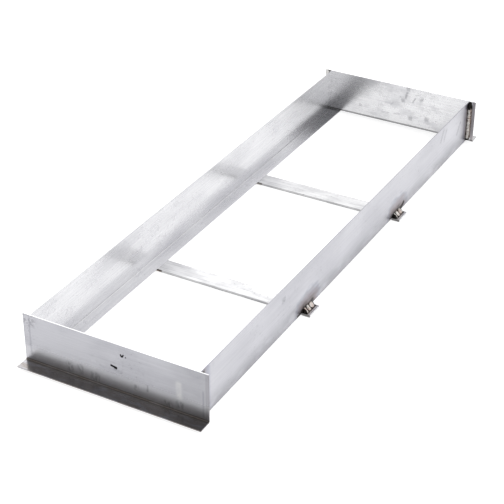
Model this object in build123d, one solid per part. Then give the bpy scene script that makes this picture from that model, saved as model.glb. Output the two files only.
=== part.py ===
from build123d import *
import math
import os

# Open sheet-metal frame of a sluice box: two side walls, two end plates, two cross straps
# and the fillet welds that hold them together.
# X runs across the box, Y along it and Z up. The origin is at the frame's centre, on the
# surface that the straps rest on. All sizes are in millimetres.

# Driving dimensions
SHEET = 2.0             # thickness of the walls and plates
WALL_HEIGHT = 100.0     # outside height of every bent sheet
BEND_RADIUS = 2.0       # inside radius of every bend
FRAME_WIDTH = 350.0     # over the side walls' outer faces
PLATE_WIDTH = 380.0     # end plates and straps, which overhang the walls at both sides
FRAME_LENGTH = 1200.0   # over the end plates' upright outer faces
SIDE_FLANGE = 28.0      # side wall's bottom flange, turned inwards, measured outside
END_FLANGE = 30.0       # end plate's bottom flange, turned outwards, measured outside
STRAP_WIDTH = 40.0      # flat bar
STRAP_THICKNESS = 5.0
STRAP_OFFSET = 206.0    # strap centre to frame centre, along Y

# Welds
CORNER_LEG = 9.0        # corner fillet, along each of its two faces
CORNER_END_GAP = 3.0    # from the bead's top end to the top of the frame
TAB_LEG = 9.0           # tab fillet, out along the strap from the side wall
TAB_RISE = 11.0         # tab fillet, up from the strap
TAB_ROOT = 2.0          # how far the tab fillet reaches in under the side wall's bend
TAB_END_GAP = 2.0       # from the bead's ends to the strap's edges
TACK_LEG = 4.0          # tack along the strap's front edge, under the side flange
TACK_LENGTH = 20.0
TACK_PROUD = 8.0        # how far the tack runs out past the flange's edge
CROWN = 0.15            # rise of a bead's face over the flat between its toes, per width

# Worked out
BEND_OUTSIDE = BEND_RADIUS + SHEET
FLOOR = STRAP_THICKNESS             # underside of the walls and plates
TOP = FLOOR + WALL_HEIGHT
WALL_X = FRAME_WIDTH / 2            # side wall's outer face
PLATE_Y = FRAME_LENGTH / 2          # end plate's upright outer face
INNER_Y = PLATE_Y - SHEET           # end plate's upright inner face

SIDES = {"left": -1, "right": 1}
ENDS = {"front": -1, "rear": 1}


def corner_at(sketch, x, y):
    """The sketch's vertex at x, y."""
    return sketch.vertices().sort_by_distance((x, y, 0))[0]


def bent_section(leg):
    """L section: upright along +Y, flange along +X, outer corner of the bend at the origin."""
    outline = Polyline(
        (0, 0), (leg, 0), (leg, SHEET), (SHEET, SHEET), (SHEET, WALL_HEIGHT), (0, WALL_HEIGHT),
        close=True,
    )
    section = make_face(outline)
    section = fillet(corner_at(section, SHEET, SHEET), BEND_RADIUS)
    return fillet(corner_at(section, 0, 0), BEND_OUTSIDE)


def run_along_y(section, length):
    """The section's X and Y laid on X and Z, and the section run along Y, centred."""
    return extrude(Plane.XZ * section, length / 2, both=True)


def side_wall(side):
    """Upright sheet between the end plates, with its flange turned inwards."""
    wall = run_along_y(bent_section(SIDE_FLANGE), 2 * INNER_Y)
    wall = Pos(-WALL_X, 0, FLOOR) * wall
    return wall if side < 0 else mirror(wall, Plane.YZ)


def end_plate(end):
    """Upright sheet across the walls' ends, with its flange turned outwards."""
    plate = Rot(0, 0, 90) * run_along_y(bent_section(END_FLANGE), PLATE_WIDTH)
    plate = Pos(0, INNER_Y, FLOOR) * plate
    return plate if end > 0 else mirror(plate, Plane.XZ)


def cross_strap(end):
    """Flat bar under both side flanges, its ends standing out as tabs."""
    return Pos(0, end * STRAP_OFFSET, STRAP_THICKNESS / 2) * Box(PLATE_WIDTH, STRAP_WIDTH, STRAP_THICKNESS)


def bead_section(across, up):
    """Fillet between two faces along +X and +Y: straight legs and a crowned face."""
    crown = CROWN * math.hypot(across, up)
    middle = Vector(across, up) / 2 + Vector(up, across).normalized() * crown
    face = ThreePointArc((across, 0), (middle.X, middle.Y), (0, up))
    return make_face([face, Line((0, up), (0, 0)), Line((0, 0), (across, 0))])


def corner_weld(side, end):
    """Upright bead in the outside corner between a side wall and an end plate's overhang."""
    low = FLOOR + BEND_OUTSIDE
    high = TOP - CORNER_END_GAP
    bead = extrude(bead_section(CORNER_LEG, CORNER_LEG), high - low)
    bead = mirror(bead, Plane.XZ) if end > 0 else bead
    bead = mirror(bead, Plane.YZ) if side < 0 else bead
    return Pos(side * WALL_X, end * INNER_Y, low) * bead


def between_walls():
    """The space inside the side walls' outer faces, with the bends' rounding along the bottom."""
    middle = FLOOR + WALL_HEIGHT / 2
    section = Pos(0, middle) * Rectangle(FRAME_WIDTH, WALL_HEIGHT)
    lower_corners = section.vertices().sort_by(Axis.Y)[:2]
    return run_along_y(fillet(lower_corners, BEND_OUTSIDE), FRAME_LENGTH)


def tab_weld(side, end):
    """Bead on a strap's tab, with its root in the groove under the side wall's bend."""
    length = STRAP_WIDTH - 2 * TAB_END_GAP
    bead = run_along_y(bead_section(TAB_ROOT + TAB_LEG, TAB_RISE), length)
    bead = Pos(WALL_X - TAB_ROOT, end * STRAP_OFFSET, FLOOR) * bead - between_walls()
    return bead if side > 0 else mirror(bead, Plane.YZ)


def strap_tack(side, end):
    """Short bead along the strap's front edge, under the side flange and out past its edge."""
    under_flange = Plane(origin=(0, 0, 0), x_dir=(0, -1, 0), z_dir=(1, 0, 0))
    bead = extrude(under_flange * bead_section(TACK_LEG, TACK_LEG), TACK_LENGTH / 2, both=True)
    middle = WALL_X - SIDE_FLANGE - TACK_PROUD + TACK_LENGTH / 2
    return Pos(side * middle, end * STRAP_OFFSET - STRAP_WIDTH / 2, FLOOR) * bead


def build():
    """Every node of the frame, by name."""
    nodes = {f"{side}_side_wall": side_wall(sign) for side, sign in SIDES.items()}
    for end, end_sign in ENDS.items():
        nodes[f"{end}_end_plate"] = end_plate(end_sign)
        nodes[f"{end}_cross_strap"] = cross_strap(end_sign)
        for side, side_sign in SIDES.items():
            nodes[f"{end}_{side}_corner_weld"] = corner_weld(side_sign, end_sign)
            nodes[f"{end}_strap_{side}_weld"] = tab_weld(side_sign, end_sign)
            nodes[f"{end}_strap_{side}_tack"] = strap_tack(side_sign, end_sign)
    return nodes


os.makedirs("parts", exist_ok=True)
for name, solid in build().items():
    export_step(solid, f"parts/{name}.step")
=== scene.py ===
"""Looks of an open sluice box frame: bent stainless sheet, flat bar straps and hand-laid welds."""
import logging
import math
import random
from dataclasses import dataclass, replace
from enum import Enum
from functools import partial
from typing import Any, Callable, Union

import bpy
from mathutils import Matrix, Vector


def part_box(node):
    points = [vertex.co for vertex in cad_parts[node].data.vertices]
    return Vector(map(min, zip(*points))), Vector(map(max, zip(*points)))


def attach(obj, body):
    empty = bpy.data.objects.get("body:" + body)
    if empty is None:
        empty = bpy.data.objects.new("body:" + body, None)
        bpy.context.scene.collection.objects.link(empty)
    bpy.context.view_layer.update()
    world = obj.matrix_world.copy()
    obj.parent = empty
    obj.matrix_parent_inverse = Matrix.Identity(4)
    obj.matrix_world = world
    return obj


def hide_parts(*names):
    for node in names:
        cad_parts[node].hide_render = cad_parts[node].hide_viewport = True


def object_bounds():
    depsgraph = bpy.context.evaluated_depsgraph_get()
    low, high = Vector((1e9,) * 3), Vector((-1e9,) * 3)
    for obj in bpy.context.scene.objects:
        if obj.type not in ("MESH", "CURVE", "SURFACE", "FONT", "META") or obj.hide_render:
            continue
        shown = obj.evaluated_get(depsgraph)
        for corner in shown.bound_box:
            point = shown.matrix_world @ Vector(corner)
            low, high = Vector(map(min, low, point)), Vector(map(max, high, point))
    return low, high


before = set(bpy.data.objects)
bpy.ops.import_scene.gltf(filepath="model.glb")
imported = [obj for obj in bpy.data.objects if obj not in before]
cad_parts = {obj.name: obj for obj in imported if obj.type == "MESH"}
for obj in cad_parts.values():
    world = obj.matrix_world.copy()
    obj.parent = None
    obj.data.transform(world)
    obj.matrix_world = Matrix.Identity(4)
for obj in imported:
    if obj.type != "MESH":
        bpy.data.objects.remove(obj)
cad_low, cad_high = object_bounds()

log = logging.getLogger("sluice_box_frame")

MM = 0.001
BODY = "root"
OXIDE = "oxide"  # float attribute of a bead's mesh: 1 where it is black

Material = bpy.types.Material
Piece = bpy.types.Object
Socket = bpy.types.NodeSocket
Tree = bpy.types.NodeTree
Triple = tuple[float, float, float]
Block = tuple[Vector, Vector]  # centre and half size, in metres


class Heading(Enum):
    """Where a bent sheet's flange points, as a turn about Z from +X, in degrees."""

    INWARD_FROM_LEFT = 0
    INWARD_FROM_RIGHT = 180
    OUTWARD_AT_REAR = 90
    OUTWARD_AT_FRONT = -90


class Side(Enum):
    """Side of the frame, by the sign of X."""

    LEFT = -1
    RIGHT = 1


class End(Enum):
    """End of the frame, by the sign of Y."""

    FRONT = -1
    REAR = 1


class Slot(Enum):
    """The record's material slots."""

    SHEET = "sheet_steel"
    STRAP = "strap_steel"
    WELD = "weld_metal"


class Blend(Enum):
    """How a mark's colour meets the metal under it."""

    STAIN = "MULTIPLY"
    COVER = "MIX"


# ---------------------------------------------------------------- materials


def linear(colour: str) -> tuple[float, float, float, float]:
    """Turns an sRGB hex colour into linear red, green, blue and alpha.

    Args:
        colour: Six hex digits after a hash.

    Returns:
        Linear RGB with an alpha of 1.
    """
    channels = [int(colour[start:start + 2], 16) / 255 for start in (1, 3, 5)]
    return (*(c / 12.92 if c <= 0.04045 else ((c + 0.055) / 1.055) ** 2.4 for c in channels), 1.0)


def add_node(tree: Tree, kind: str, inputs: dict, output: Union[int, str] = 0, **settings: Any) -> Socket:
    """Adds one node with its settings and links.

    Args:
        tree: Node tree that takes the node.
        kind: Blender's type name of the node, after "ShaderNode".
        inputs: Socket name or number to a value, or to the output that feeds it.
        output: Name or number of the output that is wanted.
        settings: The node's own properties.

    Returns:
        The wanted output.
    """
    node = tree.nodes.new(f"ShaderNode{kind}")
    for name, value in settings.items():
        setattr(node, name, value)
    for key, value in inputs.items():
        if isinstance(value, Socket):
            tree.links.new(value, node.inputs[key])
        else:
            node.inputs[key].default_value = value
    return node.outputs[output]


def distance_to_block(
    tree: Tree, place: Socket, middle: Vector, half: Vector, weight: Triple = (1, 1, 1),
) -> Socket:
    """Distance from a point to an upright block.

    Args:
        tree: Node tree.
        place: Point in metres.
        middle: The block's centre.
        half: Half of its size.
        weight: How much a metre counts along X, Y and Z.

    Returns:
        The distance in metres, 0 inside the block.
    """
    away = add_node(tree, "VectorMath", {0: place, 1: middle}, operation="SUBTRACT")
    size = add_node(tree, "VectorMath", {0: away}, operation="ABSOLUTE")
    past = add_node(tree, "VectorMath", {0: size, 1: half}, operation="SUBTRACT")
    outside = add_node(tree, "VectorMath", {0: past, 1: (0, 0, 0)}, operation="MAXIMUM")
    weighed = add_node(tree, "VectorMath", {0: outside, 1: weight}, operation="MULTIPLY")
    return add_node(tree, "VectorMath", {0: weighed}, "Value", operation="LENGTH")


class Mask:
    """Says where on a piece something lies."""

    def mask(self, tree: Tree, place: Socket) -> Socket:
        """Draws the mask.

        Args:
            tree: Node tree.
            place: Point in metres.

        Returns:
            1 where it lies and 0 elsewhere.
        """
        raise NotImplementedError


@dataclass(frozen=True)
class Patches(Mask):
    """Soft-edged patches of noise, with a real feature size along each axis."""

    size: Triple  # millimetres along X, Y and Z
    low: float = 0.42  # noise value where a patch starts
    high: float = 0.62  # noise value where it is full
    detail: float = 3
    seed: float = 0  # moves the pattern, in metres
    turn: Triple = (0, 0, 0)  # degrees about X, Y and Z

    def mask(self, tree: Tree, place: Socket) -> Socket:
        """Draws the patches."""
        laid = add_node(tree, "Mapping", {
            "Vector": place, "Location": (self.seed, self.seed, self.seed),
            "Rotation": [math.radians(angle) for angle in self.turn],
            "Scale": [size * MM for size in self.size],
        }, vector_type="TEXTURE")
        value = add_node(tree, "TexNoise", {"Vector": laid, "Scale": 1, "Detail": self.detail}, "Fac")
        return add_node(tree, "MapRange", {
            "Value": value, "From Min": self.low, "From Max": self.high,
        }, interpolation_type="SMOOTHSTEP")


@dataclass(frozen=True)
class Spot(Mask):
    """One mark in its own place: a block with rounded, fading edges."""

    middle: Triple  # millimetres
    half: Triple  # millimetres
    fade: float  # how far past its faces it fades out, in millimetres
    turn: Triple = (0, 0, 0)  # degrees about X, Y and Z
    weight: Triple = (1, 1, 1)  # how much a millimetre of the fading counts along X, Y and Z

    def mask(self, tree: Tree, place: Socket) -> Socket:
        """Draws the spot."""
        laid = add_node(tree, "Mapping", {
            "Vector": place, "Location": Vector(self.middle) * MM,
            "Rotation": [math.radians(angle) for angle in self.turn],
        }, vector_type="TEXTURE")
        distance = distance_to_block(tree, laid, Vector(), Vector(self.half) * MM, self.weight)
        return add_node(tree, "MapRange", {
            "Value": distance, "From Min": self.fade * MM, "From Max": 0.0,
        }, interpolation_type="SMOOTHSTEP")


# A slab that takes in one face of a sheet: its middle and half its thickness, in millimetres. A mark
# fades that many times faster through the sheet than along it, so it doesn't reach the other face.
FRONT_FACE = (-601, 1.4)
REAR_FACE = (597, 1.4)
RIGHT_FACE = (176, 1.6)
THROUGH = 25


def on_plate(
    face: tuple[float, float], x: float, z: float, half_x: float, half_z: float, fade: float, lean: float = 0,
) -> Spot:
    """Spot on one face of an end plate, leaning by so many degrees."""
    middle, half = face
    return Spot((x, middle, z), (half_x, half, half_z), fade, (0, lean, 0), (1, THROUGH, 1))


on_front = partial(on_plate, FRONT_FACE)
on_rear = partial(on_plate, REAR_FACE)


def on_right(y: float, z: float, half_y: float, half_z: float, fade: float, lean: float = 0) -> Spot:
    """Spot on the right wall's outer face only, leaning by so many degrees."""
    middle, half = RIGHT_FACE
    return Spot((middle, y, z), (half, half_y, half_z), fade, (lean, 0, 0), (THROUGH, 1, 1))


@dataclass(frozen=True)
class AnyOf(Mask):
    """Several masks at once."""

    masks: tuple[Mask, ...]

    def mask(self, tree: Tree, place: Socket) -> Socket:
        """The strongest of the masks at each point."""
        result = self.masks[0].mask(tree, place)
        for other in self.masks[1:]:
            drawn = other.mask(tree, place)
            result = add_node(tree, "Math", {0: result, 1: drawn}, operation="MAXIMUM")
        return result


def several(kind: Callable[..., Spot], *rows: tuple) -> AnyOf:
    """Several spots of one kind, each by its own numbers."""
    return AnyOf(tuple(kind(*row) for row in rows))


@dataclass(frozen=True)
class Stored(Mask):
    """A mask that the mesh itself holds as an attribute, with its edge broken up by noise."""

    attribute: str
    low: float
    high: float
    broken: Patches
    amount: float  # how far the noise moves the edge

    def mask(self, tree: Tree, place: Socket) -> Socket:
        """1 where the attribute and the noise together pass the high value, 0 below the low one."""
        value = add_node(tree, "Attribute", {}, "Fac", attribute_name=self.attribute)
        noise = self.broken.mask(tree, place)
        moved = add_node(tree, "Math", {0: noise, 1: self.amount, 2: value}, operation="MULTIPLY_ADD")
        return add_node(tree, "MapRange", {
            "Value": moved, "From Min": self.low, "From Max": self.high,
        }, interpolation_type="SMOOTHSTEP")


class Layer:
    """Something that changes the metal's colour or roughness."""

    def lay(self, tree: Tree, place: Socket, colour: Any, roughness: Any) -> tuple[Any, Any]:
        """Lays the layer over what is there.

        Args:
            tree: Node tree.
            place: Point in metres.
            colour: Colour so far.
            roughness: Roughness so far.

        Returns:
            Colour and roughness with the layer.
        """
        raise NotImplementedError


@dataclass(frozen=True)
class Mark(Mask, Layer):
    """One layer of wear or dirt."""

    where: tuple[Mask, ...]  # masks that have to agree
    colour: str
    amount: float = 1.0
    rougher: float = 0.0
    blend: Blend = Blend.STAIN

    def mask(self, tree: Tree, place: Socket) -> Socket:
        """The masks multiplied together."""
        result = self.where[0].mask(tree, place)
        for other in self.where[1:]:
            drawn = other.mask(tree, place)
            result = add_node(tree, "Math", {0: result, 1: drawn}, operation="MULTIPLY")
        return result

    def lay(self, tree: Tree, place: Socket, colour: Any, roughness: Any) -> tuple[Any, Any]:
        """Lays the mark."""
        mask = self.mask(tree, place)
        part = add_node(tree, "Math", {0: mask, 1: self.amount}, operation="MULTIPLY")
        mixed = {0: part, 6: colour, 7: linear(self.colour)}
        colour = add_node(tree, "Mix", mixed, 2, data_type="RGBA", blend_type=self.blend.value)
        if self.rougher:
            added = {0: mask, 1: self.rougher, 2: roughness}
            roughness = add_node(tree, "Math", added, operation="MULTIPLY_ADD")
        return colour, roughness


@dataclass(frozen=True)
class HeatTint(Layer):
    """Oxide colours that a weld's heat leaves on stainless steel, in bands round the bead."""

    blocks: tuple[Block, ...]
    reach: float  # millimetres from the bead to the last trace
    waver: float  # unevenness of the bands, in millimetres
    bands: tuple[tuple[float, str], ...]  # part of the reach, and colour
    through: Triple = (1, 1, 1)  # how much faster it fades along X, Y and Z
    patchy: Triple = (22, 22, 9)  # feature size of the unevenness, in millimetres
    start: float = 0.4  # where the first band begins, per waver

    def lay(self, tree: Tree, place: Socket, colour: Any, roughness: Any) -> tuple[Any, Any]:
        """Stains the colour with the bands."""
        nearest = distance_to_block(tree, place, *self.blocks[0], self.through)
        for block in self.blocks[1:]:
            other = distance_to_block(tree, place, *block, self.through)
            nearest = add_node(tree, "Math", {0: nearest, 1: other}, operation="MINIMUM")
        uneven = Patches(self.patchy, 0.3, 0.7, 4, seed=0.31).mask(tree, place)
        waver = self.waver * MM
        wavered = add_node(tree, "Math", {0: uneven, 1: waver, 2: nearest}, operation="MULTIPLY_ADD")
        part = add_node(tree, "MapRange", {
            "Value": wavered, "From Min": waver * self.start, "From Max": self.reach * MM + waver,
        })
        bands = add_node(tree, "ValToRGB", {"Fac": part})
        stops = bands.node.color_ramp.elements
        while len(stops) < len(self.bands):
            stops.new(0.5)
        for stop, (position, band) in zip(stops, self.bands):
            stop.position = position
            stop.color = linear(band)
        mixed = {0: 1.0, 6: colour, 7: bands}
        return add_node(tree, "Mix", mixed, 2, data_type="RGBA", blend_type=Blend.STAIN.value), roughness


@dataclass(frozen=True)
class MetalFinish:
    """A bare metal with its marks, its relief and its heat colours."""

    name: str
    colour: str
    roughness: float
    marks: tuple[Mark, ...] = ()
    relief: tuple[tuple[Patches, float], ...] = ()  # pattern, and its height in millimetres
    tints: tuple[HeatTint, ...] = ()

    def material(self) -> Material:
        """Builds the finish as a node material.

        Returns:
            The material.
        """
        material = bpy.data.materials.new(self.name)
        material.use_nodes = True
        tree = material.node_tree
        shader = tree.nodes["Principled BSDF"]
        place = add_node(tree, "TexCoord", {}, "Object")
        shader.inputs["Metallic"].default_value = 1.0
        colour: Any = linear(self.colour)
        roughness: Any = self.roughness
        for layer in self.marks + self.tints:
            colour, roughness = layer.lay(tree, place, colour, roughness)
        tree.links.new(colour, shader.inputs["Base Color"])
        tree.links.new(roughness, shader.inputs["Roughness"])
        self.emboss(tree, place, shader)
        return material

    def emboss(self, tree: Tree, place: Socket, shader: bpy.types.Node) -> None:
        """Gives the shader its fine relief.

        Args:
            tree: Node tree.
            place: Point in metres.
            shader: The Principled shader.
        """
        height: Any = 0.0
        for pattern, tall in self.relief:
            drawn = pattern.mask(tree, place)
            height = add_node(tree, "Math", {0: drawn, 1: tall * MM, 2: height}, operation="MULTIPLY_ADD")
        normal = add_node(tree, "Bump", {"Strength": 1.0, "Distance": 1.0, "Height": height})
        tree.links.new(normal, shader.inputs["Normal"])


# The marks' places are in millimetres. These reach over the whole frame.
HALF_WIDTH = 190
HALF_LENGTH = 600
WALL_FACE = 175

# Cold-rolled stainless sheet, 2B mill finish: a satin grey mirror. Rolling leaves a faint grain along
# the sheet, handling leaves cloudy patches, finger marks and fine scratches, and nothing is painted.
# The real grain is tenths of a millimetre across and is drawn 2 to 3 mm wide so that it shows.
CLOUDS = Mark((Patches((90, 170, 60), 0.38, 0.66),), "#f3f3f4", rougher=0.03)
ALONG = Patches((2.5, 300, 2.5), 0.3, 0.7, 4, seed=0.2)
ACROSS = Patches((300, 2.5, 2.5), 0.3, 0.7, 4, seed=0.2)
GRAIN = Mark((ALONG,), "#f6f6f7", rougher=0.02)
CROSS_GRAIN = Mark((ACROSS,), "#f6f6f7", rougher=0.02)
FINGER_MARKS = Mark((
    Patches((9, 9, 7), 0.54, 0.72, seed=0.4), Patches((70, 70, 60), 0.45, 0.62, 1, seed=0.5),
), "#d2d2d5", 0.3, rougher=0.04)
SCRATCHES = Mark((
    Patches((1.5, 45, 1.5), 0.62, 0.72, 1, seed=0.6, turn=(40, 0, 0)),
    Patches((80, 80, 80), 0.5, 0.62, 0, seed=0.1),
), "#d9d9dc", 0.18)
SPECKS = Mark((
    Patches((2.4, 2.4, 2.4), 0.69, 0.74, 1, seed=0.7), Patches((60, 60, 60), 0.48, 0.6, 1, seed=0.8),
), "#8e8e92", 0.6)
# Along the outside of every bend a darker band with a crisp upper edge is painted shade for the shadowed
# floor that the bend mirrors, with some dull die marking. The inside of the walls' folds is darkened with
# painted shade that dims the fold's highlight, and the shears leave the long top edges dull.
DIE_BAND = Mark((several(
    Spot, ((0, 600, 7.5), (HALF_WIDTH, 2.5, 2.9), 1), ((0, -597, 7.5), (HALF_WIDTH, 1.5, 2.9), 1),
),), "#a2a2a2", 0.9)
# The walls' bends get the same darker band: painted shade with some die marking.
WALL_DIE_BAND = Mark((several(
    Spot, *(((x, 0, 7), (0.5, HALF_LENGTH, 2), 1.5) for x in (-WALL_FACE, WALL_FACE)),
),), "#dcdcdc", 0.9)
# Darker inside the walls' folds: painted shade that dims the fold's reflected highlight.
DIRTY_FOLD = Mark((several(
    Spot, *(((x, 0, 7.6), (0.5, HALF_LENGTH, 0.5), 0.7) for x in (-172.4, 172.4)),
),), "#e4e4e4")
TOP_EDGES = Spot((0, 0, 105.5), (HALF_WIDTH, HALF_LENGTH, 0.5), 0.4)
DULL_EDGE = Mark((TOP_EDGES,), "#dedede", 0.9)
SHEARED_EDGE = Mark((TOP_EDGES,), "#f1f1f1", 0.85, blend=Blend.COVER)
DENTS = (Patches((30, 60, 30), 0.2, 0.8, 2, seed=0.9), 0.014)

MILL_SHEET = MetalFinish(
    "mill_finish_stainless_sheet", "#dadadc", 0.24,
    (CLOUDS, GRAIN, FINGER_MARKS, SCRATCHES, SPECKS, WALL_DIE_BAND, DIRTY_FOLD, DULL_EDGE),
    ((ALONG, 0.004), DENTS),
)

# The right wall's sheet came from a duller coil, and was dragged over something near its rear end.
DRAGGED = Mark((
    several(
        on_right, (441, 86, 1.2, 14, 6, -28), (458, 80, 0.8, 12, 6, -28), (540, 62, 0.8, 14, 6, -38),
        (-305, 80, 4, 3, 6),
    ),
    Patches((3, 3, 3), 0.3, 0.6, seed=0.15),
), "#a6a6aa", 0.5, rougher=0.05)
# Darker towards the bottom of the right wall: painted shade for the shadowed floor that the wall mirrors.
SOILED_FOOT = Mark((
    Spot((WALL_FACE, 0, 6), (3, HALF_LENGTH, 2), 42), Patches((60, 60, 20), 0.2, 0.6, seed=0.72),
), "#cdcdce", 0.9)
ARC_BURNS = Mark((
    AnyOf((
        Spot((178, -239, 9), (3.4, 10, 3), 2), Spot((178, -230, 10), (3.4, 4, 5), 3),
        on_right(232, 14, 9, 2.5, 5, 32),
    )),
    Patches((7, 7, 7), 0.05, 0.35, seed=0.27),
), "#17120f", 0.92, rougher=0.2, blend=Blend.COVER)
RIGHT_SHEET = replace(
    MILL_SHEET, name="mill_finish_sheet_dragged", colour="#bfbfc4", roughness=0.28,
    marks=MILL_SHEET.marks + (DRAGGED, SOILED_FOOT, ARC_BURNS),
)

# The front plate is the most handled sheet: dull, scuffed at one corner, wiped, smudged along the
# flange, and marked out with two strokes of a black marker.
INK = Mark((several(
    on_front, (16.2, 83.8, 2.6, 1.1, 1.1, 62), (19.4, 84.1, 3.0, 0.9, 1.1, -60), (25.3, 82.9, 0.4, 0.5, 1.4),
    (0.0, 55.6, 6.2, 1.5, 1.3, 12), (3.6, 54.6, 2.6, 2.0, 1.3, 12),
),), "#0c0c0e", rougher=0.1, blend=Blend.COVER)
INK_DUST = Mark((on_front(8, 50, 7, 0.5, 5, 15), Patches((5, 5, 3), 0.4, 0.6)), "#a9a9ae", 0.5)
WIPED = Mark((
    on_front(131.3, 51, 1.8, 15, 7, -2), Patches((6, 6, 14), 0.15, 0.6, seed=0.2),
), "#d2d2ce", 0.32, blend=Blend.COVER)
FLANGE_SMUDGES = Mark((
    several(
        on_front, (-94, 23, 2, 6, 9), (-71, 26, 1.5, 5, 9), (-40, 20, 5, 4, 9), (45, 27, 2, 4, 5),
        (67.5, 33, 0.8, 6, 3), (107, 15, 7, 3, 8), (133, 22, 4, 3, 8),
    ),
    Patches((5, 5, 11), 0.35, 0.62, seed=0.45),
), "#8d8d91", 0.5, rougher=0.04)
FLANGE_WEAR = Mark((
    Spot((0, -614, 6), (HALF_WIDTH, 14, 2), 3), Patches((24, 9, 9), 0.2, 0.58, 4, seed=0.35),
), "#dad0c3", 0.8, rougher=0.03)
# Lighter and rougher low on the front plate: the lighter colour is painted light that lifts the flange's dark
# reflection.
POLISHED_FOOT = Mark((
    Spot((0, -HALF_LENGTH, 23), (HALF_WIDTH, 2, 9), 14),
), "#cfcfd2", 0.45, rougher=0.13, blend=Blend.COVER)
# Darker along the front plate's fold: painted shade that dims the fold's reflected light strip.
GRIMY_FOLD = Mark((Spot((0, -601, 8), (HALF_WIDTH, 1.2, 1.2), 2),), "#c6c2be", 0.9, rougher=0.1)
DULLED_RIGHT = Mark((Spot((HALF_WIDTH, -HALF_LENGTH, 60), (20, 3, 60), 90),), "#ececec")
SCUFFED_CORNER = Mark((
    on_front(-181, 96, 9, 6, 16), Patches((4, 4, 4), 0.4, 0.6, seed=0.05),
), "#97979a", 0.4, rougher=0.1)
WELD_LINES = Mark((several(on_front, (-177, 60, 0.8, 38, 2), (179, 40, 0.8, 26, 2)),), "#b9b9c0", 0.35)
HEAT_GREYED = Mark((
    several(Spot, ((187, 598, 55), (3, 1, 50), 1.5), ((187, -598, 58), (3, 1, 47), 1.5)),
), "#b9b4b4", 0.9, rougher=0.08)
FRONT_SHEET = replace(
    MILL_SHEET, name="mill_finish_sheet_handled", colour="#b2b2b7", roughness=0.2,
    marks=(CLOUDS, CROSS_GRAIN, FINGER_MARKS, SPECKS, POLISHED_FOOT, GRIMY_FOLD, DULLED_RIGHT, WIPED,
           FLANGE_SMUDGES, FLANGE_WEAR, SCUFFED_CORNER, WELD_LINES, DIE_BAND, HEAT_GREYED, SHEARED_EDGE,
           INK_DUST, INK),
    relief=((ACROSS, 0.004), DENTS),
)

# The rear plate carries greasy finger smears across its middle.
SMEARS = Mark((
    Patches((34, 30, 17), 0.46, 0.7, 5, seed=0.62), on_rear(10, 55, 90, 30, 40),
), "#cdcdd0", 0.4, rougher=0.04)
GREASE_SPOTS = Mark((
    several(
        on_rear, (24, 102, 2, 3, 5), (12.6, 70, 2, 2, 5), (-96, 34, 1.2, 1.2, 4), (74, 35, 2, 3, 6),
        (58, 82, 1.5, 3, 6), (33, 28, 2, 2, 6), (20, 84, 0.5, 8, 4, 14), (40, 76, 0.3, 6, 3, 30),
    ),
    Patches((5, 5, 4), 0.25, 0.5, seed=0.07),
), "#a2a2a6", 0.5, rougher=0.05)
DULL_FLANGE = Mark((Spot((0, 616, 6), (HALF_WIDTH, 12, 2), 3),), "#cdcdcd", 0.9)
# Dark at the rear plate's inner bottom corners: painted shade for the shadowed gap at the end of each wall's
# flange.
DIRTY_CORNERS = Mark((
    several(Spot, *(((x, 600, 7.5), (14, 3, 2.5), 1.5) for x in (-160, 160))),
), "#a09e9c", 0.7, rougher=0.1)
BURNT_SPOT = Mark((Spot((-180, 598, 104), (2.5, 1, 1.5), 1.5),), "#6b6a6c", 0.9)
DULL_LEFT_END = Mark((Spot((-184, 598, 60), (8, 1, 46), 2),), "#d2d1ce", 0.9, rougher=0.05)
STREAKS = Mark((several(
    on_rear, (-2, 32, 8, 0.3, 2.5, -8), (-32, 29, 9, 0.3, 2.5, -6), (-15, 56, 0.3, 5, 2.5, 40),
    (50, 91, 6, 0.3, 2.5, -30),
),), "#b4b4b8", 0.3)
REAR_SHEET = replace(
    MILL_SHEET, name="mill_finish_sheet_smeared", colour="#dfdfe0", roughness=0.24,
    marks=(CLOUDS, CROSS_GRAIN, FINGER_MARKS, SPECKS, DIE_BAND, HEAT_GREYED, DULL_FLANGE, DIRTY_CORNERS,
           DULL_LEFT_END, BURNT_SPOT, SMEARS, GREASE_SPOTS, STREAKS),
    relief=FRONT_SHEET.relief,
)

# Hot-rolled, annealed and pickled stainless flat bar: paler and rougher than sheet, with long drawing
# scratches. The real ones are tenths of a millimetre apart and are drawn 1.5 mm apart.
DRAWN = Patches((120, 1.5, 3), 0.5, 0.68, 4, seed=0.3, turn=(0, 0, 2))
PICKLED_BAR = MetalFinish(
    "pickled_stainless_flat_bar", "#dededf", 0.34,
    (
        Mark((DRAWN,), "#dadadc", 0.8, rougher=0.05),
        Mark((Patches((45, 18, 18), 0.42, 0.62, 3, seed=0.35),), "#e9e9ea", 0.8, rougher=0.04),
        Mark((
            Patches((6, 5, 5), 0.6, 0.7, 3, seed=0.55), Patches((60, 40, 40), 0.45, 0.6, 1, seed=0.66),
        ), "#9a9a9c", 0.5),
        # Darker on the straps' front faces by the tabs: painted shade.
        Mark((several(
            Spot, *(((x, y, 2.5), (9, 1, 3), 0.6) for x in (-182, 182) for y in (-227, 185)),
        ),), "#b5b2af", 0.9, rougher=0.15),
        # Darker along the straps' side faces: painted shade for the floor's shadow close under them.
        Mark((several(
            Spot, *(((0, y, 2.5), (HALF_WIDTH, 1, 2.5), 1.1) for y in (-227, -185, 185, 227)),
        ),), "#dadada", rougher=0.08),
    ),
    ((replace(DRAWN, low=0.4, high=0.7), 0.02), (Patches((7, 7, 7), 0.3, 0.7), 0.02)),
)

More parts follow.
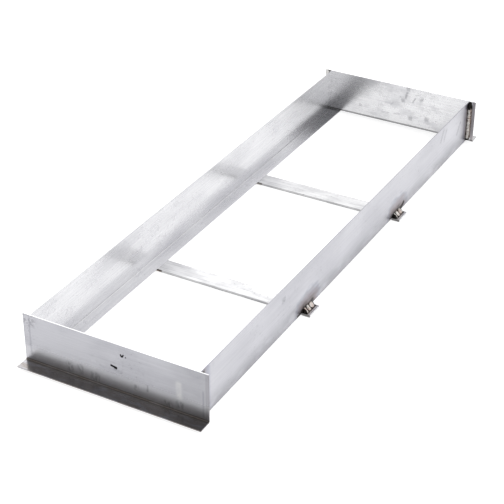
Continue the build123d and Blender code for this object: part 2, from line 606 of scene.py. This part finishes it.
# Stainless weld bead left as it was laid: silvery metal gone straw and pinkish brown, with black oxide
# between the ripples, along the toes and where the arc stopped. The corner beads are browner along the
# end plates.
AS_LAID_BEAD = MetalFinish(
    "as_laid_stainless_bead", "#c6c3bf", 0.3,
    (
        Mark((Patches((13, 13, 20), 0.45, 0.6, 2, seed=0.12),), "#dcc4bc", 0.65),
        Mark((Patches((4, 4, 5), 0.52, 0.66, 3, seed=0.22),), "#7b655d", 0.8, rougher=0.1),
        Mark((
            several(Spot, *(((0, y, 48), (HALF_WIDTH, 3, 34), 3) for y in (-598, 598))),
            Patches((5, 5, 12), 0.25, 0.5, 3, seed=0.5),
        ), "#9a8981", 0.85, rougher=0.1),
        Mark((Stored(OXIDE, 0.55, 0.8, Patches((3, 3, 3), 0.3, 0.7, seed=0.33), 0.3),), "#0d0a09", 0.97,
             rougher=0.25, blend=Blend.COVER),
    ),
    ((Patches((2.2, 2.2, 2.2), 0.3, 0.7, 3, seed=0.33), 0.12),),
)

# Straw, brown and last a pale blue on the walls, black only right at the bead.
TAB_BANDS = (
    (0.0, "#241d1a"), (0.04, "#544a46"), (0.1, "#958a85"), (0.2, "#bcb1ae"), (0.38, "#d0c5c4"),
    (0.6, "#dcd7d9"), (0.8, "#e4e6ec"), (1.0, "#ffffff"),
)
CORNER_BANDS = (
    (0.0, "#5a5452"), (0.05, "#a8a2a2"), (0.2, "#d6d2d4"), (0.5, "#e0e0e8"), (0.75, "#eaecf3"),
    (1.0, "#ffffff"),
)
STRAP_BANDS = ((0.0, "#5a5552"), (0.2, "#aaa5a1"), (0.5, "#d4d0cd"), (1.0, "#ffffff"))


@dataclass(frozen=True)
class PaleFloor:
    """Matt white acrylic sheet, lit from below so that nothing on it throws a dark shadow."""

    name: str = "lit_white_acrylic"
    colour: str = "#dcdcdc"
    glow: float = 0.7
    roughness: float = 0.9

    def material(self) -> Material:
        """Builds the floor's material.

        Returns:
            The material.
        """
        material = bpy.data.materials.new(self.name)
        material.use_nodes = True
        shader = material.node_tree.nodes["Principled BSDF"]
        for socket, value in {
            "Base Color": linear(self.colour), "Roughness": self.roughness, "Specular IOR Level": 0.0,
            "Emission Color": linear("#ffffff"), "Emission Strength": self.glow,
        }.items():
            shader.inputs[socket].default_value = value
        return material


# ---------------------------------------------------------------- modelling


def clear_selection() -> None:
    """Deselects every object."""
    bpy.ops.object.select_all(action="DESELECT")


def start_piece(name: str) -> Piece:
    """Names the primitive that was just added and opens it for editing, all selected.

    Args:
        name: The piece's name.

    Returns:
        The piece, in edit mode.
    """
    piece = bpy.context.object
    piece.name = name
    piece.data.name = name
    bpy.ops.object.mode_set(mode="EDIT")
    bpy.ops.mesh.select_all(action="SELECT")
    return piece


def select_vertices(piece: Piece, wanted: Callable[[Vector], bool]) -> None:
    """Selects some of a piece's vertices, in edit mode.

    Args:
        piece: A mesh object in edit mode.
        wanted: Says of a vertex's place whether it is wanted.
    """
    bpy.ops.object.mode_set(mode="OBJECT")
    mesh = piece.data
    mesh.polygons.foreach_set("select", [False] * len(mesh.polygons))
    mesh.edges.foreach_set("select", [False] * len(mesh.edges))
    mesh.vertices.foreach_set("select", [wanted(vertex.co) for vertex in mesh.vertices])
    bpy.ops.object.mode_set(mode="EDIT")
    bpy.ops.mesh.select_mode(type="VERT")


def cut_across(start: float, stop: float, spacing: float, axis: Vector) -> None:
    """Cuts the whole mesh, in edit mode, by evenly spaced planes.

    Args:
        start: First end of the run along the axis.
        stop: Other end of the run.
        spacing: Distance between cuts, at most.
        axis: Unit vector that the planes stand across.
    """
    panels = max(2, math.ceil((stop - start) / spacing))
    for number in range(1, panels):
        bpy.ops.mesh.select_all(action="SELECT")
        bpy.ops.mesh.bisect(plane_co=axis * (start + (stop - start) * number / panels), plane_no=axis)


def weigh(piece: Piece, name: str, weight: Callable[[Vector], float]) -> str:
    """Gives a piece a vertex group, in object mode.

    Args:
        piece: A mesh object.
        name: The group's name.
        weight: Weight of a vertex by its place, held between 0 and 1.

    Returns:
        The group's name.
    """
    group = piece.vertex_groups.new(name=name)
    for vertex in piece.data.vertices:
        group.add([vertex.index], max(0.0, min(1.0, weight(vertex.co))), "REPLACE")
    return group.name


def add_modifier(piece: Piece, name: str, kind: str, **settings: Any) -> None:
    """Adds a modifier with its settings.

    Args:
        piece: A mesh object.
        name: The modifier's name.
        kind: Blender's type name of it.
        settings: Its own properties.
    """
    modifier = piece.modifiers.new(name, kind)
    for key, value in settings.items():
        setattr(modifier, key, value)


FLAT_FACES_LEAD = 80  # how far a flat face sets the shading along its edges; 50 is evenly


def finish_mesh(piece: Piece, smooth_angle: float = 35) -> None:
    """Applies a piece's modifiers and shades it.

    Args:
        piece: A mesh object, in object mode.
        smooth_angle: Edges sharper than this stay sharp, in degrees.
    """
    clear_selection()
    piece.select_set(True)
    bpy.context.view_layer.objects.active = piece
    for modifier in list(piece.modifiers):
        bpy.ops.object.modifier_apply(modifier=modifier.name)
    bpy.ops.object.shade_smooth_by_angle(angle=math.radians(smooth_angle))
    add_modifier(piece, "even_shading", "WEIGHTED_NORMAL", keep_sharp=True, weight=FLAT_FACES_LEAD)
    bpy.ops.object.modifier_apply(modifier="even_shading")


def lay_in_place(piece: Piece, place: Matrix) -> None:
    """Moves a finished piece and leaves the move in its mesh.

    Args:
        piece: A mesh object, in object mode.
        place: Where the piece's own axes lie in the frame.
    """
    piece.matrix_world = place
    bpy.ops.object.transform_apply(location=True, rotation=True, scale=True)
    if place.determinant() < 0:
        bpy.ops.object.mode_set(mode="EDIT")
        bpy.ops.mesh.select_all(action="SELECT")
        bpy.ops.mesh.normals_make_consistent(inside=False)
        bpy.ops.object.mode_set(mode="OBJECT")


@dataclass
class SteelPiece:
    """One piece of the frame, which stands for one CAD node and rides on the frame's body."""

    node: str

    def model(self) -> Piece:
        """Models the piece in its place.

        Returns:
            The piece.
        """
        raise NotImplementedError

    def slot(self) -> Slot:
        """The record's slot for the piece; nothing here reads it."""
        raise NotImplementedError

    def make(self, material: Material) -> None:
        """Models the piece, dresses it and hands it to the frame.

        Args:
            material: The piece's material.
        """
        piece = self.model()
        piece.data.materials.clear()
        piece.data.materials.append(material)
        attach(piece, BODY)
        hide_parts(self.node)
        log.info("%s: %d faces, %s", piece.name, len(piece.data.polygons), material.name)


@dataclass
class BentSheet(SteelPiece):
    """One sheet bent to an L: upright, bend and bottom flange, as a press brake leaves it.

    It is modelled with its outer face at X 0 and the flange towards +X, and then turned into place."""

    heading: Heading
    thickness: float = 2 * MM
    bend_radius: float = 2 * MM  # inside
    edge_break: float = 0.25 * MM  # burr taken off the sheared edges
    panel: float = 25 * MM  # mesh spacing
    bend_steps: int = 10
    warp: float = 0.7 * MM  # how far the upright may stand out of flat
    swell_size: float = 0.22  # length of one swell, in metres
    held_end: float = 0.12  # part of the run, from each end, where it grows free to swell
    held_foot: float = 0.5  # part of the height, from the bend, where it does
    sharp_angle: float = 50  # edges sharper than this are deburred, in degrees

    def __post_init__(self) -> None:
        """Reads the sheet's size and place from its CAD node."""
        low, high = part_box(self.node)
        turn = math.radians(self.heading.value)
        flange_way = Vector((math.cos(turn), math.sin(turn), 0))
        run_way = Vector((-flange_way.y, flange_way.x, 0))
        size = high - low
        middle = (low + high) / 2
        self.leg = abs(size.dot(flange_way))
        self.run = abs(size.dot(run_way))
        self.height = size.z
        self.outside = self.bend_radius + self.thickness
        self.corner = Vector((middle.x, middle.y, low.z)) - flange_way * self.leg / 2

    def slot(self) -> Slot:
        """The sheets' slot."""
        return Slot.SHEET

    def upright(self) -> Piece:
        """Adds the flat upright above the bend, as a plane that faces -X.

        Returns:
            The sheet so far, in edit mode.
        """
        clear_selection()
        bpy.ops.mesh.primitive_plane_add(size=1, rotation=(0, math.radians(-90), 0))
        bpy.ops.object.transform_apply(location=False, rotation=True, scale=False)
        piece = start_piece(f"{self.node}_sheet")
        bpy.ops.transform.resize(value=(1, self.run, self.height - self.outside))
        bpy.ops.transform.translate(value=(0, 0, (self.height + self.outside) / 2))
        return piece

    def bend(self, piece: Piece) -> None:
        """Spins the upright's lower edge round the bend, then draws out the flange.

        Args:
            piece: The upright, in edit mode.
        """
        slack = self.thickness / 10
        centre = (self.outside, 0, self.outside)
        select_vertices(piece, lambda co: co.z < self.outside + slack)
        bpy.ops.mesh.spin(steps=self.bend_steps, angle=math.radians(90), center=centre, axis=(0, 1, 0))
        select_vertices(piece, lambda co: co.x > self.outside - slack)
        bpy.ops.mesh.extrude_region_move(TRANSFORM_OT_translate={"value": (self.leg - self.outside, 0, 0)})
        bpy.ops.mesh.select_all(action="SELECT")
        bpy.ops.mesh.remove_doubles(threshold=slack / 10)

    def freedom(self, co: Vector) -> float:
        """How free a point is to bulge.

        Args:
            co: The point, in the sheet's own axes.

        Returns:
            0 or less at the welded ends and the bend, 1 or more where it is free.
        """
        from_end = (self.run / 2 - abs(co.y)) / (self.run * self.held_end)
        above_bend = (co.z - self.outside) / (self.height * self.held_foot)
        return min(from_end, above_bend)

    def model(self) -> Piece:
        """Models the sheet and turns it into its place."""
        piece = self.upright()
        self.bend(piece)
        cut_across(-self.run / 2, self.run / 2, self.panel, Vector((0, 1, 0)))
        cut_across(self.outside, self.height, self.panel, Vector((0, 0, 1)))
        bpy.ops.object.mode_set(mode="OBJECT")
        swell = bpy.data.textures.new(f"{self.node}_swell", "CLOUDS")
        swell.noise_scale = self.swell_size
        add_modifier(piece, "bulge", "DISPLACE", texture=swell, strength=self.warp,
                     vertex_group=weigh(piece, "free", self.freedom))
        add_modifier(piece, "wall", "SOLIDIFY", thickness=self.thickness, offset=-1, use_even_offset=True)
        add_modifier(piece, "deburred", "BEVEL", width=self.edge_break, segments=2, limit_method="ANGLE",
                     angle_limit=math.radians(self.sharp_angle))
        finish_mesh(piece)
        turned = Matrix.Rotation(math.radians(self.heading.value), 4, "Z")
        lay_in_place(piece, Matrix.Translation(self.corner) @ turned)
        return piece


@dataclass
class CrossStrap(SteelPiece):
    """Flat bar laid across under both walls, its rolled edges slightly round and its ends sheared."""

    edge_radius: float = 0.6 * MM
    panel: float = 20 * MM

    def slot(self) -> Slot:
        """The straps' slot."""
        return Slot.STRAP

    def model(self) -> Piece:
        """Models the bar in its place."""
        low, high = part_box(self.node)
        clear_selection()
        bpy.ops.mesh.primitive_cube_add(size=1)
        piece = start_piece(f"{self.node}_bar")
        bpy.ops.transform.resize(value=high - low)
        bpy.ops.transform.translate(value=(low + high) / 2)
        cut_across(low.x, high.x, self.panel, Vector((1, 0, 0)))
        bpy.ops.object.mode_set(mode="OBJECT")
        add_modifier(piece, "rolled_edges", "BEVEL", width=self.edge_radius, segments=3, limit_method="ANGLE")
        finish_mesh(piece)
        return piece


# One ripple from its start to its end: part of its length, and how far it has dropped from the crest.
RIPPLE = ((0.12, 0.45), (0.4, 0.0), (0.75, 0.2), (0.93, 0.75), (1.0, 1.0))


@dataclass
class Bead(SteelPiece):
    """A fillet weld laid in ripples from its start to its crater.

    It is modelled with its root on the Z axis, one leg along +X and the other along +Y."""

    place: Matrix  # where the bead's axes lie in the frame
    across: float  # leg along X
    up: float  # leg along Y
    length: float
    pitch: float  # from ripple to ripple
    seed: int
    rise: float = 0.14  # how far a ripple's crest stands over its valley, per leg
    uneven: float = 0.1  # how much longer or shorter a ripple may be, per pitch
    shortest: float = 0.7  # least room left for another ripple, per pitch
    low_crest: float = 0.4  # how much lower a crest may be, per rise
    bow: float = 0.35  # how far a ripple's middle lags behind its toes, per pitch
    end_part: float = 0.55  # section at the bead's ends, against its middle
    taper: float = 4 * MM  # how far from its ends it reaches its full section
    burnt_end: float = 0.0  # length of the black stretch where the arc stopped
    burnt_start: float = 0.0  # length of the black stretch where it was struck
    seam_black: float = 0.5  # how black the valleys are
    toe_black: float = 0.1  # width of the black line along each toe, per leg
    toe_start: float = 1.15  # how black the toe is, and the burnt ends: over 1 widens the full black
    burnt: float = 1.4
    valley_top: float = 0.3  # where a valley starts below the full section, per rise
    valley_depth: float = 0.8  # how much lower it is fully black, per rise
    smoothing: int = 2
    smooth_angle: float = 60  # edges sharper than this stay sharp, in degrees
    sides: int = 24
    sunk: float = 0.8 * MM  # how far the root is fused into the steel
    trimmed: bool = False  # whether it stops at the walls, round which its root reaches

    def slot(self) -> Slot:
        """The welds' slot."""
        return Slot.WELD

    def section(self) -> Piece:
        """Adds a disc and cuts it to the quarter between the two faces.

        Returns:
            The bead so far, in edit mode.
        """
        clear_selection()
        bpy.ops.mesh.primitive_circle_add(vertices=self.sides, radius=1, fill_type="NGON")
        piece = start_piece(f"{self.node}_bead")
        for normal in ((1, 0, 0), (0, 1, 0)):
            bpy.ops.mesh.select_all(action="SELECT")
            bpy.ops.mesh.bisect(plane_co=(0, 0, 0), plane_no=normal, clear_inner=True)
        bpy.ops.mesh.select_all(action="SELECT")
        legs = (self.across * self.end_part, self.up * self.end_part, 1)
        bpy.ops.transform.resize(value=legs, center_override=(0, 0, 0))
        return piece

    def ripples(self) -> list[tuple[float, float]]:
        """The rings up the bead, after its first.

        Returns:
            Each ring's height in metres and its section as a part of the full one.
        """
        dice = random.Random(self.seed)
        rings = []
        z = 0.0
        while z < self.length - self.pitch * self.shortest:
            step = min(self.pitch * dice.uniform(1 - self.uneven, 1 + self.uneven), self.length - z)
            crest = 1 - self.rise * dice.uniform(0.0, self.low_crest)
            from_end = min(z + step / 2, self.length - z - step / 2)
            near_end = min(1.0, self.end_part + (1 - self.end_part) * math.sqrt(from_end / self.taper))
            for part, drop in RIPPLE:
                rings.append((z + step * part, (crest - self.rise * drop) * near_end))
            z += step
        rings[-1] = (self.length, self.end_part)
        return rings

    def lay(self) -> None:
        """Draws the section up the bead ring by ring, swelling it at each crest."""
        height, part = 0.0, self.end_part
        for next_height, next_part in self.ripples():
            bpy.ops.mesh.extrude_region_move(TRANSFORM_OT_translate={"value": (0, 0, next_height - height)})
            grow = next_part / part
            bpy.ops.transform.resize(value=(grow, grow, 1), center_override=(0, 0, next_height))
            height, part = next_height, next_part
        bpy.ops.mesh.select_all(action="SELECT")
        bpy.ops.mesh.normals_make_consistent(inside=False)
        bpy.ops.object.mode_set(mode="OBJECT")

    def crown(self, co: Vector) -> float:
        """How far a point is from both legs.

        Args:
            co: The point, in the bead's own axes.

        Returns:
            1 half-way between the legs, 0 on them and at the bead's ends.
        """
        x, y = co.x / self.across, co.y / self.up
        from_end = min(co.z, self.length - co.z) / self.pitch
        never_zero = 0.01
        return 2 * x * y / max(x * x + y * y, never_zero) * min(1.0, from_end)

    def blackness(self, co: Vector) -> float:
        """How black a point is: between the ripples, at the toes and at the burnt ends.

        Args:
            co: The point, in the bead's own axes.

        Returns:
            From 0 for bare metal to 1 for black.
        """
        x, y = co.x / self.across, co.y / self.up
        depth = (1 - self.rise * self.valley_top - math.hypot(x, y)) / (self.rise * self.valley_depth)
        from_toe = min(co.x, co.y) - self.sunk
        toe = self.toe_start - from_toe / (min(self.across, self.up) * self.toe_black)
        stop = self.burnt - (self.length - co.z) / self.burnt_end if self.burnt_end else 0.0
        strike = self.burnt - co.z / self.burnt_start if self.burnt_start else 0.0
        return max(0.0, min(1.0, max(min(depth, 1.0) * self.seam_black, toe, stop, strike)))

    def model(self) -> Piece:
        """Models the bead, stores where it is black and moves it into place."""
        piece = self.section()
        self.lay()
        add_modifier(piece, "bowed", "DISPLACE", direction="Z", mid_level=0.0,
                     strength=-self.pitch * self.bow, vertex_group=weigh(piece, "crown", self.crown))
        add_modifier(piece, "molten", "SUBSURF", levels=self.smoothing, render_levels=self.smoothing)
        if self.trimmed:
            tray = space_between_walls(self.sunk)
            tray.matrix_world = self.place.inverted()
            add_modifier(piece, "trimmed", "BOOLEAN", object=tray, operation="DIFFERENCE")
        finish_mesh(piece, self.smooth_angle)
        if self.trimmed:
            bpy.data.objects.remove(tray)
        oxide = piece.data.attributes.new(OXIDE, "FLOAT", "POINT")
        oxide.data.foreach_set("value", [self.blackness(vertex.co) for vertex in piece.data.vertices])
        lay_in_place(piece, self.place)
        return piece


def space_between_walls(inset: float) -> Piece:
    """Models the space inside the walls' outer faces, rounded along the bottom like their bends.

    Args:
        inset: How far it keeps inside the walls' outer faces.

    Returns:
        The space, as a closed mesh in the frame's axes.
    """
    left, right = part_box("left_side_wall")[0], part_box("right_side_wall")[1]
    outside = BentSheet.bend_radius + BentSheet.thickness
    bend_segments = 12
    clear_selection()
    bpy.ops.mesh.primitive_cube_add(size=1)
    piece = start_piece("space_between_walls")
    bpy.ops.transform.resize(value=(right.x - left.x - 2 * inset, right.y - left.y, right.z - left.z))
    bpy.ops.transform.translate(value=(0, 0, (right.z + left.z) / 2 + inset))
    select_vertices(piece, lambda co: co.z < left.z + 2 * inset)
    bpy.ops.mesh.bevel(offset=outside - inset, segments=bend_segments)
    bpy.ops.object.mode_set(mode="OBJECT")
    return piece


def axes_at(origin: Vector, x_way: Vector, y_way: Vector, z_way: Vector) -> Matrix:
    """A matrix that lays a piece's own axes along three ways from an origin."""
    return Matrix.Translation(origin) @ Matrix((x_way, y_way, z_way)).transposed().to_4x4()


@dataclass
class Welds:
    """Every bead on the frame: four upright corners, four strap tabs and four tacks."""

    corner_pitch: float = 3.6 * MM
    tab_pitch: float = 11 * MM
    tack_pitch: float = 4 * MM
    corner_seed: int = 20
    tab_seed: int = 40
    tack_seed: int = 60
    seed_step: int = 3  # from the front's seed to the rear's, halved
    sunk: float = 0.8 * MM  # how far a root is fused into the steel

    def bead(self, side: Side, end: End, ending: str, ways: tuple[Vector, ...], **settings: Any) -> Bead:
        """Sizes a bead by its CAD node.

        Args:
            side: Side that it is on.
            end: End that it is nearer to.
            ending: The CAD node's name after its end, with the side left open.
            ways: Way of its first leg, of its second leg, and along it.
            settings: The bead's other fields.

        Returns:
            The bead, not yet modelled.
        """
        node = (end.name + ending.format(side.name)).lower()
        low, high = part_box(node)
        inwards = ways[0] + ways[1] + ways[2]
        root = Vector([low[axis] if inwards[axis] > 0 else high[axis] for axis in range(3)])
        across, up, length = (abs((high - low).dot(way)) for way in ways)
        place = axes_at(root - (ways[0] + ways[1]) * self.sunk, *ways)
        settings["seed"] += side.value + self.seed_step * end.value
        return Bead(node, place, across + self.sunk, up + self.sunk, length, sunk=self.sunk, **settings)

    def corner(self, side: Side, end: End) -> Bead:
        """Upright bead outside a corner, between the wall and the plate's overhang."""
        ways = Vector((side.value, 0, 0)), Vector((0, -end.value, 0)), Vector((0, 0, 1))
        return self.bead(side, end, "_{}_corner_weld", ways, pitch=self.corner_pitch, seed=self.corner_seed,
                         burnt_end=17 * MM, burnt_start=6 * MM, end_part=0.6, seam_black=0.62,
                         toe_black=0.045, taper=9 * MM)

    def tab(self, side: Side, end: End) -> Bead:
        """Bead on a strap's tab, laid from the front to the rear against the wall."""
        ways = Vector((side.value, 0, 0)), Vector((0, 0, 1)), Vector((0, 1, 0))
        return self.bead(side, end, "_strap_{}_weld", ways, pitch=self.tab_pitch, seed=self.tab_seed,
                         rise=0.24, seam_black=0.9, burnt_start=3 * MM, burnt_end=2 * MM, end_part=0.8,
                         trimmed=True)

    def tack(self, side: Side, end: End) -> Bead:
        """Short bead on a strap's front edge, under the flange and out past it."""
        ways = Vector((0, -1, 0)), Vector((0, 0, -1)), Vector((-side.value, 0, 0))
        return self.bead(
            side, end, "_strap_{}_tack", ways, pitch=self.tack_pitch, seed=self.tack_seed, seam_black=0.25,
        )

    def blocks(self, *endings: str) -> tuple[Block, ...]:
        """The part of each bead that stands outside the walls.

        Args:
            endings: Endings of the CAD nodes' names.

        Returns:
            Centre and half size of the block round each bead.
        """
        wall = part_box("right_side_wall")[1].x
        found = []
        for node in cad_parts:
            if node.endswith(endings):
                low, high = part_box(node)
                if low.x < wall < high.x:
                    low.x = wall
                if low.x < -wall < high.x:
                    high.x = -wall
                found.append(((low + high) / 2, (high - low) / 2))
        return tuple(found)

    def make(self, material: Material) -> None:
        """Makes every bead."""
        for laid in (self.corner, self.tab, self.tack):
            for end in End:
                for side in Side:
                    laid(side, end).make(material)


@dataclass
class Tray:
    """The four bent sheets: two side walls and two end plates."""

    welds: Welds

    def make(self) -> None:
        """Makes the sheets, the walls with the heat colours of the welds on them."""
        corners = self.welds.blocks("corner_weld")
        tabs = self.welds.blocks("strap_left_weld", "strap_right_weld")
        through = (THROUGH, 1, 1)
        on_walls = (
            HeatTint(tabs, reach=32, waver=9, bands=TAB_BANDS, through=through),
            HeatTint(corners, reach=20, waver=3, bands=CORNER_BANDS, through=through),
        )
        for node, heading, finish in (
            ("left_side_wall", Heading.INWARD_FROM_LEFT, replace(MILL_SHEET, tints=on_walls)),
            ("right_side_wall", Heading.INWARD_FROM_RIGHT, replace(RIGHT_SHEET, tints=on_walls)),
            ("front_end_plate", Heading.OUTWARD_AT_FRONT, FRONT_SHEET),
            ("rear_end_plate", Heading.OUTWARD_AT_REAR, REAR_SHEET),
        ):
            BentSheet(node, heading).make(finish.material())


@dataclass
class Straps:
    """The two flat bars under the tray."""

    welds: Welds

    def make(self) -> None:
        """Makes the bars, with the heat colours of the welds on them."""
        beads = self.welds.blocks("strap_left_weld", "strap_right_weld")
        tacks = self.welds.blocks("tack")
        tints = (
            HeatTint(beads, reach=1, waver=0.5, bands=STRAP_BANDS, patchy=(7, 7, 7)),
            HeatTint(tacks, reach=2, waver=1, bands=STRAP_BANDS, through=(1, 1, 3)),
        )
        material = replace(PICKLED_BAR, tints=tints).material()
        for end in End:
            CrossStrap(f"{end.name.lower()}_cross_strap").make(material)


# ---------------------------------------------------------------- studio


@dataclass(frozen=True)
class Patch:
    """A soft-edged patch of the world, round one direction."""

    way: Triple
    core: float  # degrees from the way that it fills
    edge: float  # degrees from the way where it ends
    strength: float


@dataclass
class Studio:
    """Lit floor, pale surroundings with a dark room behind the camera, and the camera."""

    azimuth: float = 28.82  # degrees round from the front, towards the right side
    elevation: float = 31.25
    roll: float = 0.25
    distance: float = 2.8236
    lens: float = 103.46  # millimetres, as is the sensor
    sensor: float = 36
    aim: Triple = (0.0229, -0.1495, 0.055)
    floor_size: float = 14.0
    surround: float = 1.26
    window: Patch = Patch((0.412, 0.749, 0.519), 14, 44, 1.48)
    dark_room: Patch = Patch((-0.25, -0.82, 0.52), 42, 72, 0.4)
    lamp_place: Triple = (-1.6, 1.6, 2.6)
    lamp_size: float = 2.4
    lamp_power: float = 10  # watts

    def floor(self) -> None:
        """Adds the floor, level with the lowest part of the frame."""
        clear_selection()
        bpy.ops.mesh.primitive_plane_add(size=self.floor_size, location=(0, 0, cad_low.z))
        floor = bpy.context.object
        floor.name = "studio_floor"
        floor.data.materials.append(PaleFloor().material())

    def surroundings(self) -> None:
        """Lights the scene by a pale world, with one brighter patch and one dark one."""
        world = bpy.data.worlds.new("studio")
        bpy.context.scene.world = world
        world.use_nodes = True
        tree = world.node_tree
        way = add_node(tree, "TexCoord", {}, "Generated")
        strength: Any = self.surround
        for patch in (self.window, self.dark_room):
            toward = Vector(patch.way).normalized()
            facing = add_node(tree, "VectorMath", {0: way, 1: toward}, "Value", operation="DOT_PRODUCT")
            part = add_node(tree, "MapRange", {
                "Value": facing, "From Min": math.cos(math.radians(patch.edge)),
                "From Max": math.cos(math.radians(patch.core)),
            }, interpolation_type="SMOOTHSTEP")
            strength = add_node(tree, "Mix", {0: part, 2: strength, 3: patch.strength}, 0)
        background = tree.nodes["Background"]
        background.inputs["Color"].default_value = (1, 1, 1, 1)
        tree.links.new(strength, background.inputs["Strength"])

    def softbox(self) -> None:
        """Adds a wide soft light high behind the frame's left side."""
        clear_selection()
        bpy.ops.object.light_add(type="AREA", location=self.lamp_place)
        lamp = bpy.context.object
        lamp.name = "softbox"
        lamp.data.shape = "SQUARE"
        lamp.data.size = self.lamp_size
        lamp.data.energy = self.lamp_power
        lamp.rotation_euler = (-lamp.location).to_track_quat("-Z", "Y").to_euler()

    def camera(self) -> None:
        """Adds the camera at its viewing angle."""
        round_by, over = math.radians(self.azimuth), math.radians(self.elevation)
        flat = Vector((math.sin(round_by), -math.cos(round_by), 0))
        back = flat * math.cos(over) + Vector((0, 0, math.sin(over)))
        bpy.ops.object.camera_add(location=Vector(self.aim) + back * self.distance)
        camera = bpy.context.object
        level = (-back).to_track_quat("-Z", "Y").to_matrix()
        camera.rotation_euler = (level @ Matrix.Rotation(math.radians(self.roll), 3, "Z")).to_euler()
        camera.data.lens = self.lens
        camera.data.sensor_width = self.sensor
        bpy.context.scene.camera = camera
        bpy.context.scene.view_settings.view_transform = "Standard"

    def make(self) -> None:
        """Sets up the floor, the lights and the camera."""
        self.floor()
        self.surroundings()
        self.softbox()
        self.camera()


def main() -> None:
    """Builds every piece of the frame in order, then the studio."""
    logging.basicConfig(level=logging.INFO, format="%(message)s")
    welds = Welds()
    Tray(welds).make()
    Straps(welds).make()
    welds.make(AS_LAID_BEAD.material())
    Studio().make()


if __name__ == "__main__":
    main()
